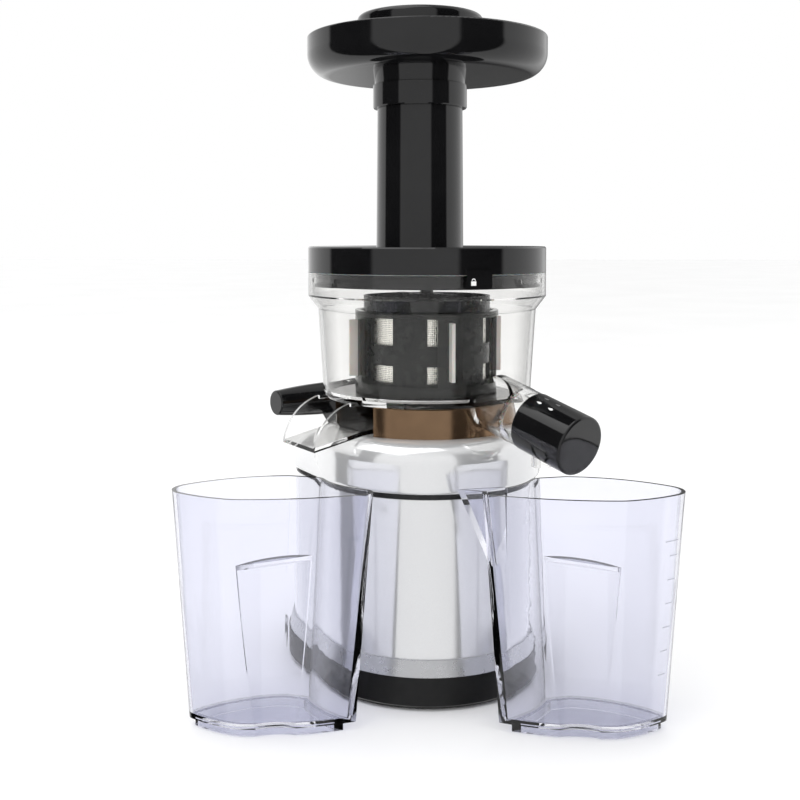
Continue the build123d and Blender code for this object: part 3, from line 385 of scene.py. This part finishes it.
def plate(outline, place, lift):
    """A thin closed plate: a flat outline of (across, along) points, set on a curved surface.

    place turns (across, along, height above the surface) into a point in the frame.
    """
    count = len(outline)
    centre = Vector((sum(p[0] for p in outline) / count, sum(p[1] for p in outline) / count))
    corners = [place(x, y, -lift) for x, y in outline]
    corners += [place(x, y, lift) for x, y in outline]
    corners += [place(centre.x, centre.y, -lift), place(centre.x, centre.y, lift)]
    faces = []
    for near in range(count):
        far = (near + 1) % count
        faces.append((near, far, count + far, count + near))
        faces.append((count + near, count + far, 2 * count + 1))
        faces.append((far, near, 2 * count))
    return corners, faces


def drop_outline(across, along, size, points=20):
    """A water drop that points along the cap."""
    width, point = 0.62, 1.4
    outline = []
    for step in range(points):
        turn = 2 * math.pi * step / points
        pinch = math.sin(turn / 2) ** point
        outline.append((across + size * math.sin(turn) * pinch * width, along + size * math.cos(turn)))
    return outline


def on_tap(around, back, height):
    """A point on the tap's cap: around is an arc length from its top, back is from its end."""
    side = TAP_AXIS.cross(Vector((0, 0, 1))).normalized()
    up = side.cross(TAP_AXIS)
    turn = around / TAP_R
    radial = up * math.cos(turn) + side * math.sin(turn)
    return TAP_END - TAP_AXIS * back + radial * (TAP_R + height)


def tap_marks():
    """Four drops on the cap, a bright pair and a dim pair, each placed by on_tap's around and back."""
    size = 1.8 * MM
    spots = ((7.3, 28, INK_WHITE), (7.8, 19, INK_WHITE), (1.6, 28, INK_GREY), (2.1, 19, INK_GREY))
    for number, (around, back, ink) in enumerate(spots):
        outline = drop_outline(around * MM, back * MM, size)
        corners, faces = plate(outline, on_tap, INK_LIFT)
        make_piece(f"tap_drop_{number + 1}", corners, faces, ink, "tap")


def on_lock_tab(across, up, height):
    """A point on the lid's lock tab: across is an arc length, up is a height."""
    azimuth = LOCK_MARK_AZIMUTH + across / LOCK_TAB_R
    reach = LOCK_TAB_R + height
    return Vector((reach * math.cos(azimuth), reach * math.sin(azimuth), up))


def lock_mark():
    """A white closed padlock on the lid's tab: a body plate and a shackle."""
    half_width, lift = 1.5 * MM, 0.06 * MM
    low, high = LOCK_MARK_BOTTOM, LOCK_SHACKLE_BASE
    body = [(-half_width, low), (half_width, low), (half_width, high), (-half_width, high)]
    corners, faces = plate(body, on_lock_tab, lift)
    make_piece("lock_mark_body", corners, faces, INK_WHITE, "lid")
    outer, inner, neck, steps = 1.15 * MM, 0.7 * MM, 0.4 * MM, 8
    turns = [math.pi * step / steps for step in range(steps + 1)]
    shackle = []
    for radius, order in ((outer, turns), (inner, turns[::-1])):
        for turn in order:
            up = LOCK_SHACKLE_BASE + neck + radius * math.sin(turn)
            shackle.append((radius * math.cos(turn), up))
    corners, faces = band(shackle, on_lock_tab, lift)
    make_piece("lock_mark_shackle", corners, faces, INK_WHITE, "lid")


def band(outline, place, lift):
    """As plate, for an outline that goes out along one side and comes back along the other."""
    count = len(outline)
    corners = [place(x, y, -lift) for x, y in outline]
    corners += [place(x, y, lift) for x, y in outline]
    faces = []
    for near in range(count):
        far = (near + 1) % count
        faces.append((near, far, count + far, count + near))
    for near in range(count // 2 - 1):
        back = count - 1 - near
        faces.append((near + 1, near, back, back - 1))
        faces.append((count + near, count + near + 1, count + back - 1, count + back))
    return corners, faces


def wall_strip(wall, centre, first, last, bottom, top, lift):
    """A thin printed strip that follows a wall: rays from outside find the wall.

    first and last are azimuths in degrees round the centre, and bottom and top are heights.
    """
    steps, reach = 10, 0.2
    low, high = [], []
    for step in range(steps + 1):
        angle = math.radians(first + (last - first) * step / steps)
        inward = Vector((-math.cos(angle), -math.sin(angle), 0))
        for height, row in ((bottom, low), (top, high)):
            start = Vector((centre[0], centre[1], height)) - inward * reach
            hit, normal, _, _ = wall.ray_cast(start, inward)
            row.append((hit, normal))
    ring = low + high[::-1]
    count = len(ring)
    corners = [point - normal * lift for point, normal in ring]
    corners += [point + normal * lift for point, normal in ring]
    faces = []
    for near in range(count):
        far = (near + 1) % count
        faces.append((near, far, count + far, count + near))
    for near in range(steps):
        back = count - 1 - near
        faces.append((near + 1, near, back, back - 1))
        faces.append((count + near, count + near + 1, count + back - 1, count + back))
    return corners, faces


def jug_scale():
    """The jug's graduation lines, with a longer one at its fill limit."""
    wall = BVHTree.FromObject(frame["nodes"]["juice_jug"], bpy.context.evaluated_depsgraph_get())
    first_height, spacing, count, line_spread = 32.5 * MM, 13 * MM, 6, 9
    limit_height, limit_spread, thickness = 105.5 * MM, 16, 0.6 * MM
    lines = [(first_height + spacing * number, line_spread) for number in range(count)]
    lines.append((limit_height, limit_spread))
    for number, (height, spread) in enumerate(lines):
        start = JUG_SCALE_AZIMUTH - spread
        top = height + thickness
        corners, faces = wall_strip(wall, JUG_CENTRE, start, JUG_SCALE_AZIMUTH, height, top, INK_LIFT)
        make_piece(f"jug_line_{number + 1}", corners, faces, INK_MARK, "jug")


tap_marks()
lock_mark()
jug_scale()


# ---- studio ---------------------------------------------------------------------------

FLOOR_HALF = 12.0

# The dome that gloss reflects: azimuths in degrees from -Y towards +X, and light levels.
DARK_FLAGS = ((-104, -53), (30, 75))
REAR_FLAG = (150, 170)
SOFT_EDGE = 2.0
TOP_START = 0.55
TOP_END = 0.85
SIDE_LIGHT = 1.2
FLAG_LIGHT = 0.03
PANEL_LIGHT = 0.95
REAR_LIGHT = 0.12
TOP_LIGHT = 0.7

# The even light that matt surfaces gather, and the even backdrop behind everything.
SOFT_LIGHT = 1.12
BACKDROP = 1.0

LAMP_PLACE = (-0.5, -0.3, 1.5)
LAMP_SIZE = 1.4
LAMP_POWER = 9
LAMP_AIM = (0, 0, 0.18)

CAMERA_PLACE = (-0.005, -0.6762, 0.2656)
CAMERA_PITCH = 3.49
CAMERA_YAW = 0.956
CAMERA_LENS = 49.97
CAMERA_SHIFT = -0.12


def floor():
    """A pale, wide, flat floor, left out of what gloss reflects."""
    half = FLOOR_HALF
    corners = [(-half, -half, 0), (half, -half, 0), (half, half, 0), (-half, half, 0)]
    mesh = bpy.data.meshes.new("floor")
    mesh.from_pydata(corners, [], [(0, 1, 2, 3)])
    tree = Tree("floor")
    shader = tree.shader(IOR=1.3)
    tree.link(tree.ramp(tree.noise(3, 3), (0.9, 0.9, 0.9), (0.93, 0.93, 0.93)), shader.inputs["Base Color"])
    tree.link(tree.spread(tree.noise(40, 3), 0.6, 0.75), shader.inputs["Roughness"])
    mesh.materials.append(tree.done(shader))
    sheet = bpy.data.objects.new("floor", mesh)
    sheet.visible_glossy = False
    bpy.context.collection.objects.link(sheet)


def dome_stops():
    """The dome's level against azimuth: a panel in front between dark flags, and a dim rear."""
    (left_start, left_end), (right_start, right_end) = DARK_FLAGS
    rear_start, rear_end = REAR_FLAG
    edges = (
        (left_start, SIDE_LIGHT, FLAG_LIGHT),
        (left_end, FLAG_LIGHT, PANEL_LIGHT),
        (right_start, PANEL_LIGHT, FLAG_LIGHT),
        (right_end, FLAG_LIGHT, SIDE_LIGHT),
    )
    stops = [(-180, REAR_LIGHT), (-rear_end, SIDE_LIGHT)]
    for degrees, before, after in edges:
        stops += [(degrees - SOFT_EDGE, before), (degrees + SOFT_EDGE, after)]
    stops += [(rear_start, SIDE_LIGHT), (rear_end, REAR_LIGHT), (180, REAR_LIGHT)]
    return stops


def azimuth_ramp(nodes, links, split):
    """Turns a direction's azimuth into the dome's level there."""
    flip = nodes.new("ShaderNodeMath")
    flip.operation = "MULTIPLY"
    flip.inputs[1].default_value = -1
    links.new(split.outputs["Y"], flip.inputs[0])
    angle = nodes.new("ShaderNodeMath")
    angle.operation = "ARCTAN2"
    links.new(split.outputs["X"], angle.inputs[0])
    links.new(flip.outputs[0], angle.inputs[1])
    turn = nodes.new("ShaderNodeMapRange")
    turn.inputs["From Min"].default_value = -math.pi
    turn.inputs["From Max"].default_value = math.pi
    links.new(angle.outputs[0], turn.inputs["Value"])
    ramp = nodes.new("ShaderNodeValToRGB")
    stops = dome_stops()
    elements = ramp.color_ramp.elements
    while len(elements) < len(stops):
        elements.new(0.5)
    for element, (degrees, level) in zip(elements, stops):
        element.position = (degrees + 180) / 360
        element.color = (level, level, level, 1)
    links.new(turn.outputs[0], ramp.inputs["Fac"])
    return ramp.outputs["Color"]


def mixed(nodes, links, factor, colour, level):
    """The colour, turning to an even level as the factor rises."""
    mix = nodes.new("ShaderNodeMix")
    mix.data_type = "RGBA"
    links.new(factor, mix.inputs["Factor"])
    links.new(colour, mix.inputs["A"])
    mix.inputs["B"].default_value = (level, level, level, 1)
    return mix.outputs["Result"]


def studio_light():
    """A banded dome for gloss to reflect, and even light for every other kind of ray."""
    world = bpy.data.worlds.new("studio")
    world.use_nodes = True
    bpy.context.scene.world = world
    nodes, links = world.node_tree.nodes, world.node_tree.links
    nodes.clear()
    coordinates = nodes.new("ShaderNodeTexCoord")
    split = nodes.new("ShaderNodeSeparateXYZ")
    links.new(coordinates.outputs["Generated"], split.inputs[0])
    level = azimuth_ramp(nodes, links, split)
    height = nodes.new("ShaderNodeMapRange")
    height.inputs["From Min"].default_value = TOP_START
    height.inputs["From Max"].default_value = TOP_END
    links.new(split.outputs["Z"], height.inputs["Value"])
    shown = mixed(nodes, links, height.outputs[0], level, TOP_LIGHT)
    path = nodes.new("ShaderNodeLightPath")
    even = (("Is Diffuse Ray", SOFT_LIGHT), ("Is Transmission Ray", BACKDROP), ("Is Camera Ray", BACKDROP))
    for ray, brightness in even:
        shown = mixed(nodes, links, path.outputs[ray], shown, brightness)
    background = nodes.new("ShaderNodeBackground")
    links.new(shown, background.inputs["Color"])
    output = nodes.new("ShaderNodeOutputWorld")
    links.new(background.outputs[0], output.inputs["Surface"])


def soft_lamp(name, place, size, power):
    """A square soft box that points at the middle of the juicer."""
    light = bpy.data.lights.new(name, "AREA")
    light.shape = "SQUARE"
    light.size = size
    light.energy = power
    lamp = bpy.data.objects.new(name, light)
    lamp.location = place
    aim = Vector(LAMP_AIM) - Vector(place)
    lamp.rotation_mode = "QUATERNION"
    lamp.rotation_quaternion = aim.to_track_quat("-Z", "Y")
    bpy.context.collection.objects.link(lamp)


def camera():
    data = bpy.data.cameras.new("camera")
    data.sensor_width = 36
    data.lens = CAMERA_LENS
    data.shift_y = CAMERA_SHIFT
    data.clip_start = 0.01
    view = bpy.data.objects.new("camera", data)
    view.location = CAMERA_PLACE
    view.rotation_euler = (math.radians(90 - CAMERA_PITCH), 0, math.radians(CAMERA_YAW))
    bpy.context.collection.objects.link(view)
    bpy.context.scene.camera = view


bpy.context.scene.view_settings.view_transform = "Standard"
floor()
studio_light()
soft_lamp("overhead", LAMP_PLACE, LAMP_SIZE, LAMP_POWER)
camera()
